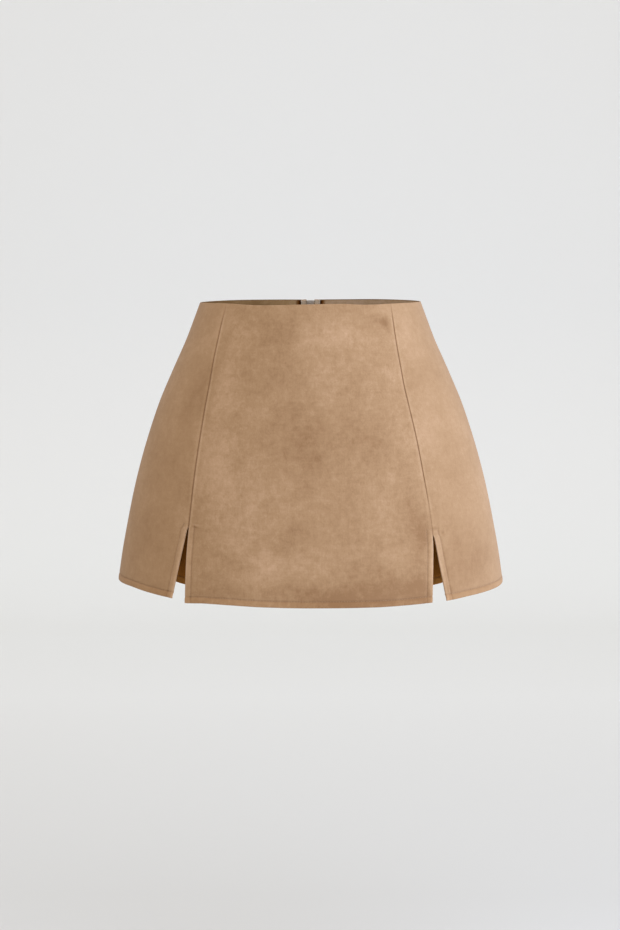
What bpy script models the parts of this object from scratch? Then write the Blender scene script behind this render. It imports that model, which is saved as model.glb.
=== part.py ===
"""A short A-line skort: a five-panel skirt over built-in shorts, held open as if worn.

The origin is the centre of the waist opening, +Z is up and the front faces -Y.
Every length is in metres and every angle in degrees, measured from the centre
front towards +X, so -90 and 90 are the side seams and 180 is the centre back.
"""

import math

import bmesh
import bpy
import numpy as np
from mathutils import Matrix, Vector

# Cloth and construction sizes
SKIRT_WALL = 0.0015
SHORTS_WALL = 0.0012
TAPE_WALL = 0.0010
GAP = 0.0003
SHORTS_TOP_DROP = 0.0012

# Grid sizes of the panels. The top row follows the waist's line, and rows are level
# from a little below it down to the slits, where they start to lean into the hem's.
SKIRT_ROWS = 13
WAIST_ROWS_END = 0.050
HEM_LEVEL = 0.3260
LEVEL_ROWS_END = 0.2570
ROW_MERGE = 0.008
CENTRE_COLUMNS = 26
SIDE_COLUMNS = 9
BACK_COLUMNS = 22
SHORTS_COLUMNS = 12

# The skirt's form, a row for each level below the waist. The section is an
# oval whose squareness is 2 where it is an ellipse. The seams are the angles
# of the two front seams.
SKIRT_COLUMNS = ("drop", "half_width", "front", "back", "squareness", "left_seam", "right_seam")
SKIRT_FORM = (
    (0.000, 0.1281, 0.0940, 0.0950, 2.00, -56.2, 53.3),
    (0.020, 0.1356, 0.0985, 0.1016, 2.02, -56.1, 52.1),
    (0.043, 0.1445, 0.1030, 0.1092, 2.05, -55.5, 50.9),
    (0.066, 0.1549, 0.1070, 0.1168, 2.08, -54.7, 50.2),
    (0.090, 0.1656, 0.1105, 0.1245, 2.10, -53.9, 49.9),
    (0.113, 0.1754, 0.1140, 0.1310, 2.12, -53.5, 50.2),
    (0.148, 0.1876, 0.1195, 0.1385, 2.15, -52.9, 50.8),
    (0.184, 0.1984, 0.1245, 0.1425, 2.18, -52.5, 51.1),
    (0.219, 0.2072, 0.1285, 0.1450, 2.20, -52.2, 51.6),
    (0.252, 0.2141, 0.1318, 0.1465, 2.20, -52.1, 51.9),
    (0.291, 0.2215, 0.1355, 0.1480, 2.20, -51.7, 50.9),
    (0.335, 0.2280, 0.1392, 0.1500, 2.20, -51.0, 49.5),
)

# The waist's line round the skirt: how far it lies below the origin's level
LINE_COLUMNS = ("angle", "drop")
WAIST = (
    (-180.0, -0.0009),
    (-135.0, -0.0012),
    (-90.0, -0.0002),
    (-58.0, -0.0006),
    (-34.0, 0.0009),
    (-12.0, 0.0000),
    (20.0, -0.0009),
    (38.0, 0.0002),
    (60.0, -0.0008),
    (90.0, -0.0014),
    (130.0, -0.0020),
    (155.0, -0.0014),
    (180.0, -0.0009),
)

# The hem's line, in the same way
HEM = (
    (-180.0, 0.3260),
    (-130.0, 0.3250),
    (-90.0, 0.3240),
    (-74.0, 0.3228),
    (-65.0, 0.3252),
    (-59.0, 0.3272),
    (-55.6, 0.3284),
    (-51.0, 0.3322),
    (-44.0, 0.3311),
    (-34.0, 0.3316),
    (-22.0, 0.3326),
    (0.0, 0.3332),
    (28.0, 0.3332),
    (40.0, 0.3324),
    (50.0, 0.3313),
    (56.0, 0.3306),
    (63.0, 0.3287),
    (74.0, 0.3271),
    (90.0, 0.3262),
    (130.0, 0.3255),
    (180.0, 0.3260),
)

# The slits rise from the hem to an apex on each front seam. The side panel's
# edge leans away from the seam by so many degrees for each metre of drop.
SLITS = {
    "left": {"apex_drop": 0.250, "lean": 57.7},
    "right": {"apex_drop": 0.257, "lean": 69.0},
}

# The shorts above the crotch, a row for each level
BODY_COLUMNS = ("drop", "half_width", "front", "back")
SHORTS_BODY = (
    (0.000, 0.1259, 0.0918, 0.0914),
    (0.040, 0.1396, 0.0990, 0.1035),
    (0.090, 0.1530, 0.1050, 0.1165),
    (0.140, 0.1620, 0.1080, 0.1245),
    (0.190, 0.1670, 0.1075, 0.1270),
    (0.320, 0.1700, 0.1050, 0.1250),
)

# One leg of the shorts, as an oval about its own centre
LEG_COLUMNS = ("drop", "centre_x", "half_width", "centre_y", "half_depth")
SHORTS_LEG = (
    (0.000, 0.0853, 0.0849, 0.009, 0.1110),
    (0.245, 0.0853, 0.0849, 0.009, 0.1090),
    (0.270, 0.0895, 0.0805, 0.009, 0.1060),
    (0.295, 0.0935, 0.0765, 0.008, 0.1025),
    (0.320, 0.0960, 0.0740, 0.008, 0.1000),
)
SHORTS_HEM_DROP = 0.3200
BODY_END_DROP = 0.130
CROTCH_DROP = 0.245
CROTCH_CURVE = 2.4
# Half of a seam's gap, as a share of a panel's width
SHORTS_SEAM_SHARE = 0.0008

# The centre-back opening: half of the space between the cloth's two edges
OPENING_COLUMNS = ("drop", "skirt", "shorts")
ZIP_OPENING = (
    (0.000, 0.00480, 0.01200),
    (0.014, 0.00480, 0.01200),
    (0.024, 0.00260, 0.01200),
    (0.152, 0.00260, 0.01200),
    (0.168, 0.00015, 0.00015),
    (0.340, 0.00015, 0.00015),
)

# Zip sizes. An inset is a depth inside the skirt's outer face.
TAPE_INNER = 0.0026
TAPE_OUTER = 0.0116
TAPE_INSET = SKIRT_WALL + GAP
TAPE_TOP = 0.0006
TAPE_END = 0.163
CHAIN_HALF_WIDTH = 0.0023
CHAIN_THICKNESS = 0.0022
CHAIN_INSET = 0.0012
CHAIN_TOP = 0.0060
CHAIN_END = 0.151
SLIDER_TOP = 0.0008
SLIDER_LENGTH = 0.0095
SLIDER_WIDTH = 0.0080
PLATE_THICKNESS = 0.0010
CORE_LENGTH = 0.0046
CORE_WIDTH = 0.0024
CROWN_WIDTH = 0.0016
CROWN_START = 0.0016
CROWN_LENGTH = 0.0066
CROWN_BAR = 0.0011
CROWN_RISE = 0.0021
PULL_WIDTH = 0.0060
PULL_THICKNESS = 0.0011
PULL_LENGTH = 0.0260
PULL_WINDOW_WIDTH = 0.0028
PULL_WINDOW_LENGTH = 0.0056
PULL_EDGE_BEVEL = 0.00025


def table_value(rows, columns, name, place):
    """Read a column at a place given by the first column, by a monotone cubic."""
    table = np.array(rows)
    xs = table[:, 0]
    ys = table[:, columns.index(name)]
    steps = np.diff(xs)
    slopes = np.diff(ys) / steps
    tangents = np.zeros(len(xs))
    tangents[0] = slopes[0]
    tangents[-1] = slopes[-1]
    for i in range(1, len(xs) - 1):
        if slopes[i - 1] * slopes[i] > 0:
            tangents[i] = 2 * slopes[i - 1] * slopes[i] / (slopes[i - 1] + slopes[i])
    i = int(np.clip(np.searchsorted(xs, place) - 1, 0, len(steps) - 1))
    t = (place - xs[i]) / steps[i]
    start = ys[i] * (2 * t**3 - 3 * t**2 + 1) + ys[i + 1] * (3 * t**2 - 2 * t**3)
    bend = tangents[i] * (t**3 - 2 * t**2 + t) + tangents[i + 1] * (t**3 - t**2)
    return float(start + steps[i] * bend)


def skirt_value(name, drop):
    return table_value(SKIRT_FORM, SKIRT_COLUMNS, name, drop)


def line_drop(line, angle):
    """How far the waist's or the hem's line lies below the origin at an angle."""
    return table_value(line, LINE_COLUMNS, "drop", angle)


def oval_point(angle, half_width, depth, squareness, drop):
    """A point of a level oval, at a polar angle from its front."""
    across = math.sin(math.radians(angle))
    along = math.cos(math.radians(angle))
    reach = (abs(across / half_width) ** squareness + abs(along / depth) ** squareness) ** (-1 / squareness)
    return Vector((reach * across, -reach * along, -drop))


def skirt_point(angle, drop):
    """A point of the skirt's outer face."""
    facing_front = math.cos(math.radians(angle)) >= 0
    depth = skirt_value("front" if facing_front else "back", drop)
    squareness = skirt_value("squareness", drop) if facing_front else 2.0
    return oval_point(angle, skirt_value("half_width", drop), depth, squareness, drop)


def skirt_normal(angle, drop):
    """The outward direction of the skirt's face."""
    step_angle = 0.5
    step_drop = 0.001
    round_skirt = skirt_point(angle + step_angle, drop) - skirt_point(angle - step_angle, drop)
    down_skirt = skirt_point(angle, drop + step_drop) - skirt_point(angle, max(drop - step_drop, 0.0))
    return down_skirt.cross(round_skirt).normalized()


def inset_point(angle, drop, inset):
    return skirt_point(angle, drop) - inset * skirt_normal(angle, drop)


def degrees_of(length, drop, angle=180.0):
    """The angle that a short length spans, by default at the centre back."""
    return math.degrees(length / skirt_point(angle, drop).xy.length)


def make_material(name, colour, roughness, metallic=0.0):
    material = bpy.data.materials.new(name)
    material.use_nodes = True
    shader = material.node_tree.nodes["Principled BSDF"]
    shader.inputs["Base Color"].default_value = (*colour, 1.0)
    shader.inputs["Roughness"].default_value = roughness
    shader.inputs["Metallic"].default_value = metallic
    return material


def add_object(name, bm, material, parent=None):
    """Put a bmesh in the scene as one smooth-shaded object."""
    mesh = bpy.data.meshes.new(name)
    bm.to_mesh(mesh)
    bm.free()
    mesh.materials.append(material)
    mesh.shade_smooth()
    mesh.set_sharp_from_angle(angle=math.radians(40))
    piece = bpy.data.objects.new(name, mesh)
    bpy.context.collection.objects.link(piece)
    piece.parent = parent
    return piece


def add_cloth(name, grid, wall, material):
    """Turn rows of points, top to bottom and seen from outside left to right,
    into a cloth wall of an even thickness inside those points."""
    bm = bmesh.new()
    verts = [[bm.verts.new(point) for point in row] for row in grid]
    for upper, lower in zip(verts[:-1], verts[1:]):
        for i in range(len(upper) - 1):
            bm.faces.new((upper[i], lower[i], lower[i + 1], upper[i + 1]))
    piece = add_object(name, bm, material)
    solid = piece.modifiers.new("wall", "SOLIDIFY")
    solid.thickness = wall
    solid.offset = -1.0
    solid.use_even_offset = True
    return piece


def shares(count):
    return [i / count for i in range(count + 1)]


def opening_marks():
    """The levels where the centre-back opening changes width."""
    return [row[0] for row in ZIP_OPENING[1:-1]]


def row_levels(marks, top=0.0, end=HEM_LEVEL):
    """Even levels from waist to hem, with a row at each mark instead of one beside it."""
    even = [top + share * (end - top) for share in shares(SKIRT_ROWS)]
    kept = [level for level in even if all(abs(level - mark) > ROW_MERGE for mark in marks)]
    return sorted(kept + list(marks))


def waist_shift(level, angle):
    """How far the waist's line moves a row down: all the way at the top, and less below."""
    return max(1 - level / WAIST_ROWS_END, 0.0) * line_drop(WAIST, angle)


def row_drop(level, angle):
    """How far a row of the skirt lies below the origin at an angle."""
    hem_share = max(level - LEVEL_ROWS_END, 0.0) / (HEM_LEVEL - LEVEL_ROWS_END)
    return level + waist_shift(level, angle) + hem_share * (line_drop(HEM, angle) - HEM_LEVEL)


def skirt_panel(name, left_edge, right_edge, columns, material, marks=()):
    """A skirt panel between two edges, each a function from drop to angle."""
    grid = []
    for level in row_levels(marks):
        row = []
        for across in shares(columns):
            drop = level
            for _ in range(3):
                left = left_edge(drop)
                angle = left + across * (right_edge(drop) - left)
                drop = row_drop(level, angle)
            row.append(skirt_point(angle, drop))
        grid.append(row)
    return add_cloth(name, grid, SKIRT_WALL, material)


def slit_lean(side, drop):
    slit = SLITS[side]
    return max(drop - slit["apex_drop"], 0.0) * slit["lean"]


def beside(angle, drop, turn):
    """The angle of a cloth edge half a gap from a seam: turn is 1 to its right, -1 to its left."""
    return angle + turn * degrees_of(GAP / 2, drop, angle)


def make_skirt(material):
    def left_of_centre(drop):
        return beside(skirt_value("left_seam", drop), drop, 1)

    def right_of_centre(drop):
        return beside(skirt_value("right_seam", drop), drop, -1)

    def left_side_inner(drop):
        return beside(skirt_value("left_seam", drop), drop, -1) - slit_lean("left", drop)

    def right_side_inner(drop):
        return beside(skirt_value("right_seam", drop), drop, 1) + slit_lean("right", drop)

    def left_side_outer(drop):
        return beside(-90.0, drop, 1)

    def right_side_outer(drop):
        return beside(90.0, drop, -1)

    def back_side(drop):
        return beside(90.0, drop, 1)

    def back_opening(drop):
        half = table_value(ZIP_OPENING, OPENING_COLUMNS, "skirt", drop)
        return 180.0 - degrees_of(half, drop)

    slit_marks = [slit["apex_drop"] for slit in SLITS.values()]
    skirt_panel("front_centre_panel", left_of_centre, right_of_centre, CENTRE_COLUMNS, material)
    skirt_panel("front_side_left", left_side_outer, left_side_inner, SIDE_COLUMNS, material,
                slit_marks[:1])
    skirt_panel("front_side_right", right_side_inner, right_side_outer, SIDE_COLUMNS, material,
                slit_marks[1:])
    skirt_panel("back_right", back_side, back_opening, BACK_COLUMNS, material, opening_marks())
    skirt_panel("back_left", lambda drop: -back_opening(drop), lambda drop: -back_side(drop),
                BACK_COLUMNS, material, opening_marks())


def leg_share(drop):
    """0 where the shorts are one body, rising along the crotch curve to 1 at the legs."""
    share = (drop - BODY_END_DROP) / (CROTCH_DROP - BODY_END_DROP)
    return min(max(share, 0.0), 1.0) ** CROTCH_CURVE


def shorts_point(side, facing, around, drop):
    """A point of the shorts' outer face. side is -1 on the left and 1 on the right,
    facing is -1 at the front and 1 at the back, and around runs from 0 at the
    side seam to 1 at the centre seam and the inner leg."""
    half_width = table_value(SHORTS_BODY, BODY_COLUMNS, "half_width", drop)
    depth = table_value(SHORTS_BODY, BODY_COLUMNS, "front" if facing < 0 else "back", drop)
    turn = math.radians(90.0 * around)
    body = Vector((side * half_width * math.cos(turn), facing * depth * math.sin(turn), -drop))
    swing = math.radians(180.0 * around)
    leg_x = (table_value(SHORTS_LEG, LEG_COLUMNS, "centre_x", drop)
             + table_value(SHORTS_LEG, LEG_COLUMNS, "half_width", drop) * math.cos(swing))
    leg_y = (table_value(SHORTS_LEG, LEG_COLUMNS, "centre_y", drop)
             + facing * table_value(SHORTS_LEG, LEG_COLUMNS, "half_depth", drop) * math.sin(swing))
    leg = Vector((side * leg_x, leg_y, -drop))
    return body.lerp(leg, leg_share(drop))


def shorts_panel(name, side, facing, material):
    """A panel of one leg and its half of the body, from side seam to centre seam."""
    marks = [CROTCH_DROP]
    if facing > 0:
        marks += opening_marks()
    middle = 0.0 if facing < 0 else 180.0 * side
    grid = []
    for level in row_levels(marks, SHORTS_TOP_DROP, SHORTS_HEM_DROP):
        seam = SHORTS_SEAM_SHARE
        centre = seam
        if facing > 0:
            half = table_value(ZIP_OPENING, OPENING_COLUMNS, "shorts", level)
            width = table_value(SHORTS_BODY, BODY_COLUMNS, "half_width", level)
            centre = max(seam, half / (width * math.pi / 2))
        row = []
        for across in shares(SHORTS_COLUMNS):
            around = seam + across * (1 - seam - centre)
            angle = 90.0 * side + around * (middle - 90.0 * side)
            row.append(shorts_point(side, facing, around, level + waist_shift(level, angle)))
        if side * facing < 0:
            row.reverse()
        grid.append(row)
    return add_cloth(name, grid, SHORTS_WALL, material)


def make_shorts(material):
    for side, side_name in ((-1, "left"), (1, "right")):
        shorts_panel("shorts_front_" + side_name, side, -1, material)
        shorts_panel("shorts_back_" + side_name, side, 1, material)


def zip_strip(name, start_x, end_x, top, end, inset, thickness, material):
    """A strip inside the centre-back opening, from its points on the skirt moved in.

    Its rows are the back panels' own, so that it follows their facets.
    """
    between = [level for level in row_levels(opening_marks()) if top + GAP < level < end - GAP]
    grid = []
    for level in [top, *between, end]:
        row = []
        for across in shares(2):
            angle = 180.0 - degrees_of(start_x + across * (end_x - start_x), level)
            row.append(inset_point(angle, row_drop(level, angle), inset))
        grid.append(row)
    return add_cloth(name, grid, thickness, material)


def box_piece(name, low, high, material, parent):
    """A box between its lowest and highest corners."""
    centre = (Vector(low) + Vector(high)) / 2
    bm = bmesh.new()
    bmesh.ops.create_cube(bm, size=1.0, matrix=Matrix.LocRotScale(centre, None, Vector(high) - Vector(low)))
    return add_object(name, bm, material, parent)


def unite(piece, helper):
    """Unite a hidden helper with a piece."""
    helper.hide_render = True
    helper.display_type = "WIRE"
    join = piece.modifiers.new("with " + helper.name, "BOOLEAN")
    join.operation = "UNION"
    join.solver = "EXACT"
    join.object = helper


def make_slider_frame():
    """An empty on the zip's line at the slider's top: -Z runs down the zip, +Y outwards."""
    top = skirt_point(180.0, row_drop(SLIDER_TOP, 180.0))
    end = skirt_point(180.0, row_drop(SLIDER_TOP + SLIDER_LENGTH, 180.0))
    frame = bpy.data.objects.new("slider_frame", None)
    frame.location = top
    frame.rotation_euler = (math.atan2(end.y - top.y, top.z - end.z), 0.0, 0.0)
    bpy.context.collection.objects.link(frame)
    return frame


def make_slider(frame, material):
    """Two plates joined by a core, with a crown over the outer plate."""
    half = SLIDER_WIDTH / 2
    outer_face = GAP + PLATE_THICKNESS - CHAIN_INSET
    outer_back = outer_face - PLATE_THICKNESS
    inner_front = -(CHAIN_INSET + CHAIN_THICKNESS + GAP)
    inner_back = inner_front - PLATE_THICKNESS
    slider = box_piece("zip_slider", (-half, outer_back, -SLIDER_LENGTH), (half, outer_face, 0.0),
                       material, frame)
    overlap = PLATE_THICKNESS / 2
    inner = box_piece("slider_inner_plate", (-half, inner_back, -SLIDER_LENGTH), (half, inner_front, 0.0),
                      material, frame)
    core = box_piece("slider_core", (-CORE_WIDTH / 2, inner_front - overlap, -CORE_LENGTH),
                     (CORE_WIDTH / 2, outer_back + overlap, 0.0), material, frame)
    crown_top = outer_face + CROWN_RISE
    crown_end = CROWN_START + CROWN_LENGTH
    x = CROWN_WIDTH / 2
    bar = box_piece("crown_bar", (-x, crown_top, -crown_end), (x, crown_top + CROWN_BAR, -CROWN_START),
                    material, frame)
    upper_foot = box_piece("crown_upper_foot", (-x, outer_face - overlap, -CROWN_START - CROWN_BAR),
                           (x, crown_top + overlap, -CROWN_START), material, frame)
    lower_foot = box_piece("crown_lower_foot", (-x, outer_face - overlap, -crown_end),
                           (x, crown_top + overlap, -crown_end + CROWN_BAR), material, frame)
    for helper in (core, inner, upper_foot, lower_foot, bar):
        unite(slider, helper)
    return outer_face


def make_pull(frame, outer_face, material):
    """The pull tab: a plate with a window round the crown, hinged on its top bar."""
    bar_reach = PULL_THICKNESS / math.sqrt(2)
    axis_drop = CROWN_START + CROWN_BAR + GAP + bar_reach
    hinge = bpy.data.objects.new("pull_hinge", None)
    hinge.location = (0.0, outer_face + CROWN_RISE / 2, -axis_drop)
    hinge.parent = frame
    bpy.context.collection.objects.link(hinge)
    across = (-PULL_WIDTH / 2, -PULL_WINDOW_WIDTH / 2, PULL_WINDOW_WIDTH / 2, PULL_WIDTH / 2)
    bar = PULL_THICKNESS / 2
    down = (bar, -bar, -bar - PULL_WINDOW_LENGTH, bar - PULL_LENGTH)
    bm = bmesh.new()
    verts = [[bm.verts.new((x, -bar, z)) for x in across] for z in down]
    for i in range(3):
        for j in range(3):
            if (i, j) != (1, 1):
                bm.faces.new((verts[i][j], verts[i][j + 1], verts[i + 1][j + 1], verts[i + 1][j]))
    plate = bmesh.ops.extrude_face_region(bm, geom=bm.faces[:])
    moved = [item for item in plate["geom"] if isinstance(item, bmesh.types.BMVert)]
    bmesh.ops.translate(bm, verts=moved, vec=(0.0, PULL_THICKNESS, 0.0))
    bmesh.ops.recalc_face_normals(bm, faces=bm.faces[:])
    pull = add_object("zip_pull", bm, material, hinge)
    bevel = pull.modifiers.new("soft edges", "BEVEL")
    bevel.width = PULL_EDGE_BEVEL
    bevel.segments = 1
    bevel.limit_method = "ANGLE"


def make_zip(tape, metal):
    zip_strip("zip_tape_right", TAPE_OUTER, TAPE_INNER, TAPE_TOP, TAPE_END, TAPE_INSET, TAPE_WALL, tape)
    zip_strip("zip_tape_left", -TAPE_INNER, -TAPE_OUTER, TAPE_TOP, TAPE_END, TAPE_INSET, TAPE_WALL, tape)
    zip_strip("zip_teeth", CHAIN_HALF_WIDTH, -CHAIN_HALF_WIDTH, CHAIN_TOP, CHAIN_END, CHAIN_INSET,
              CHAIN_THICKNESS, metal)
    frame = make_slider_frame()
    outer_face = make_slider(frame, metal)
    make_pull(frame, outer_face, metal)


def main():
    for item in list(bpy.data.objects):
        bpy.data.objects.remove(item, do_unlink=True)
    suede = make_material("suede", (0.47, 0.30, 0.18), 0.9)
    shorts_cloth = make_material("shorts_cloth", (0.26, 0.15, 0.07), 0.9)
    tape = make_material("zip_tape", (0.50, 0.38, 0.27), 0.8)
    nickel = make_material("nickel", (0.72, 0.70, 0.66), 0.3, 1.0)
    make_skirt(suede)
    make_shorts(shorts_cloth)
    make_zip(tape, nickel)


main()
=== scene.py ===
import math
import bpy
import numpy as np
from mathutils import Matrix, Vector


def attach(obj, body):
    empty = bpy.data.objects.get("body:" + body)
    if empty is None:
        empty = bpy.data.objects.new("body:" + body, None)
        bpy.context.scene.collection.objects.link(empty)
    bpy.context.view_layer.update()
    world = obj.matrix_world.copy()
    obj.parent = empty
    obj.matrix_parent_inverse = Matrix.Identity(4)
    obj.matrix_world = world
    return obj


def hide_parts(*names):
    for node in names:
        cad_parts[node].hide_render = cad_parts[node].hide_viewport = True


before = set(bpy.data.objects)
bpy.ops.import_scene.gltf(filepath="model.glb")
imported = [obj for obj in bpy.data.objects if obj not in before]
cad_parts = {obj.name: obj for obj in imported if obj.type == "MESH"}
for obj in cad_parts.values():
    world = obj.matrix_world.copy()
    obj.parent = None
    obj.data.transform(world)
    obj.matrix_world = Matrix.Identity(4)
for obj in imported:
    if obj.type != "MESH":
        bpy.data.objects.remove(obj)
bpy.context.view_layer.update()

# All lengths are in metres. Angles run round the waist in degrees: 0 is the centre
# front, 90 the right side seam, -90 the left and 180 the centre back.

# The skirt's outer form, a row for each level below the waist
skirtForm = {
    "columns": ("drop", "halfWidth", "front", "back", "squareness", "leftSeam", "rightSeam"),
    "rows": (
        (0.000, 0.1281, 0.0940, 0.0950, 2.00, -56.2, 53.3),
        (0.020, 0.1356, 0.0985, 0.1016, 2.02, -56.1, 52.1),
        (0.043, 0.1445, 0.1030, 0.1092, 2.05, -55.5, 50.9),
        (0.066, 0.1549, 0.1070, 0.1168, 2.08, -54.7, 50.2),
        (0.090, 0.1656, 0.1105, 0.1245, 2.10, -53.9, 49.9),
        (0.113, 0.1754, 0.1140, 0.1310, 2.12, -53.5, 50.2),
        (0.148, 0.1876, 0.1195, 0.1385, 2.15, -52.9, 50.8),
        (0.184, 0.1984, 0.1245, 0.1425, 2.18, -52.5, 51.1),
        (0.219, 0.2072, 0.1285, 0.1450, 2.20, -52.2, 51.6),
        (0.252, 0.2141, 0.1318, 0.1465, 2.20, -52.1, 51.9),
        (0.291, 0.2215, 0.1355, 0.1480, 2.20, -51.7, 50.9),
        (0.335, 0.2280, 0.1392, 0.1500, 2.20, -51.0, 49.5),
    ),
}
# How far the waist's and the hem's lines lie below the origin, round the skirt
waistLine = {
    "columns": ("angle", "drop"),
    "rows": (
        (-180.0, -0.0009), (-135.0, -0.0012), (-90.0, -0.0002), (-58.0, -0.0006), (-34.0, 0.0009),
        (-12.0, 0.0000), (20.0, -0.0009), (38.0, 0.0002), (60.0, -0.0008), (90.0, -0.0014),
        (130.0, -0.0020), (155.0, -0.0014), (180.0, -0.0009),
    ),
}
hemLine = {
    "columns": ("angle", "drop"),
    "rows": (
        (-180.0, 0.3260), (-130.0, 0.3250), (-90.0, 0.3240), (-74.0, 0.3228), (-65.0, 0.3252),
        (-59.0, 0.3272), (-55.6, 0.3284), (-51.0, 0.3322), (-44.0, 0.3311), (-34.0, 0.3316),
        (-22.0, 0.3326), (0.0, 0.3332), (28.0, 0.3332), (40.0, 0.3324), (50.0, 0.3313),
        (56.0, 0.3306), (63.0, 0.3287), (74.0, 0.3271), (90.0, 0.3262), (130.0, 0.3255),
        (180.0, 0.3260),
    ),
}
# The top row follows the waist's line. Rows are level from a little below it down
# to the slits, where they start to lean into the hem's.
waistRowsEnd = 0.050
hemLevel = 0.3260
levelRowsEnd = 0.2570
slits = {
    "left": {"apexDrop": 0.247, "lean": 55.5, "gape": 0.62},
    "right": {"apexDrop": 0.256, "lean": 68.0, "gape": 0.50},
}
zipOpening = {
    "columns": ("drop", "skirt", "shorts"),
    "rows": (
        (0.000, 0.00480, 0.01200), (0.014, 0.00480, 0.01200), (0.024, 0.00260, 0.01200),
        (0.152, 0.00260, 0.01200), (0.168, 0.00003, 0.00001), (0.340, 0.00003, 0.00001),
    ),
}
shortsBody = {
    "columns": ("drop", "halfWidth", "front", "back"),
    "rows": (
        (0.000, 0.1259, 0.0918, 0.0914), (0.040, 0.1396, 0.0990, 0.1035),
        (0.090, 0.1530, 0.1050, 0.1165), (0.140, 0.1620, 0.1080, 0.1245),
        (0.190, 0.1670, 0.1075, 0.1270), (0.320, 0.1700, 0.1050, 0.1250),
    ),
}
shortsLeg = {
    "columns": ("drop", "centreX", "halfWidth", "centreY", "halfDepth"),
    "rows": (
        (0.000, 0.0853, 0.08529, 0.009, 0.1110), (0.245, 0.0853, 0.08529, 0.009, 0.1090),
        (0.270, 0.0895, 0.0805, 0.009, 0.1060), (0.295, 0.0935, 0.0765, 0.008, 0.1025),
        (0.320, 0.0960, 0.0740, 0.008, 0.1000),
    ),
}
shortsCut = {"top": 0.0012, "hem": 0.3200, "bodyEnd": 0.130, "crotch": 0.245, "crotchCurve": 2.4}
seamGap = 0.00005


def readTable(table, column, place):
    # a monotone cubic through one column, read at an array of places
    rows = np.array(table["rows"])
    xs = rows[:, 0]
    ys = rows[:, table["columns"].index(column)]
    steps = np.diff(xs)
    slopes = np.diff(ys) / steps
    tangents = np.zeros(len(xs))
    tangents[0] = slopes[0]
    tangents[-1] = slopes[-1]
    for i in range(1, len(xs) - 1):
        if slopes[i - 1] * slopes[i] > 0:
            tangents[i] = 2 * slopes[i - 1] * slopes[i] / (slopes[i - 1] + slopes[i])
    place = np.asarray(place, float)
    i = np.clip(np.searchsorted(xs, place) - 1, 0, len(steps) - 1)
    t = (place - xs[i]) / steps[i]
    start = ys[i] * (2 * t**3 - 3 * t**2 + 1) + ys[i + 1] * (3 * t**2 - 2 * t**3)
    bend = tangents[i] * (t**3 - 2 * t**2 + t) + tangents[i + 1] * (t**3 - t**2)
    return start + steps[i] * bend


def skirtPoint(angle, drop):
    angle, drop = np.broadcast_arrays(np.asarray(angle, float), np.asarray(drop, float))
    turn = np.radians(angle)
    facingFront = np.cos(turn) >= 0
    depth = np.where(facingFront, readTable(skirtForm, "front", drop), readTable(skirtForm, "back", drop))
    power = np.where(facingFront, readTable(skirtForm, "squareness", drop), 2.0)
    halfWidth = readTable(skirtForm, "halfWidth", drop)
    reach = (np.abs(np.sin(turn) / halfWidth)**power + np.abs(np.cos(turn) / depth)**power)**(-1 / power)
    return np.stack((reach * np.sin(turn), -reach * np.cos(turn), -drop), -1)


def skirtNormal(angle, drop):
    aside = skirtPoint(angle + 0.5, drop) - skirtPoint(angle - 0.5, drop)
    below = skirtPoint(angle, drop + 0.001) - skirtPoint(angle, np.maximum(drop - 0.001, 0.0))
    normal = np.cross(below, aside)
    return normal / np.linalg.norm(normal, axis=-1, keepdims=True)


def waistShift(level, angle):
    return np.maximum(1 - level / waistRowsEnd, 0.0) * readTable(waistLine, "drop", angle)


def hangDrop(level, angle):
    hemShare = np.maximum(level - levelRowsEnd, 0.0) / (hemLevel - levelRowsEnd)
    return level + waistShift(level, angle) + hemShare * (readTable(hemLine, "drop", angle) - hemLevel)


def degreesOf(length, drop, angle=180.0):
    # the angle that a short length spans
    return np.degrees(length / np.linalg.norm(skirtPoint(angle, drop)[..., :2], axis=-1))


def shortsPoint(side, facing, around, drop):
    around, drop = np.broadcast_arrays(np.asarray(around, float), np.asarray(drop, float))
    depth = readTable(shortsBody, "front" if facing < 0 else "back", drop)
    turn = np.radians(90 * around)
    bodyX = side * readTable(shortsBody, "halfWidth", drop) * np.cos(turn)
    bodyY = facing * depth * np.sin(turn)
    swing = np.radians(180 * around)
    legX = side * (readTable(shortsLeg, "centreX", drop) + readTable(shortsLeg, "halfWidth", drop) * np.cos(swing))
    legY = readTable(shortsLeg, "centreY", drop) + facing * readTable(shortsLeg, "halfDepth", drop) * np.sin(swing)
    share = np.clip((drop - shortsCut["bodyEnd"]) / (shortsCut["crotch"] - shortsCut["bodyEnd"]), 0, 1)
    share = share**shortsCut["crotchCurve"]
    return np.stack((bodyX + share * (legX - bodyX), bodyY + share * (legY - bodyY), -drop), -1)


# Materials

def newMaterial(name):
    material = bpy.data.materials.new(name)
    material.use_nodes = True
    return material, material.node_tree.nodes, material.node_tree.links


def noise(nodes, links, vector, scale, detail=2.0, roughness=0.5, distortion=0.0):
    node = nodes.new("ShaderNodeTexNoise")
    node.inputs["Scale"].default_value = scale
    node.inputs["Detail"].default_value = detail
    node.inputs["Roughness"].default_value = roughness
    node.inputs["Distortion"].default_value = distortion
    links.new(vector, node.inputs["Vector"])
    return node.outputs["Fac"]


def maths(nodes, links, kind, first, second):
    node = nodes.new("ShaderNodeMath")
    node.operation = kind
    for socket, value in zip(node.inputs, (first, second)):
        if isinstance(value, (int, float)):
            socket.default_value = value
        else:
            links.new(value, socket)
    return node.outputs[0]


def ramp(nodes, links, factor, stops):
    node = nodes.new("ShaderNodeValToRGB")
    while len(node.color_ramp.elements) < len(stops):
        node.color_ramp.elements.new(0.5)
    for element, (place, colour) in zip(node.color_ramp.elements, stops):
        element.position = place
        element.color = (*colour, 1.0)
    links.new(factor, node.inputs["Fac"])
    return node.outputs["Color"]


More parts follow.
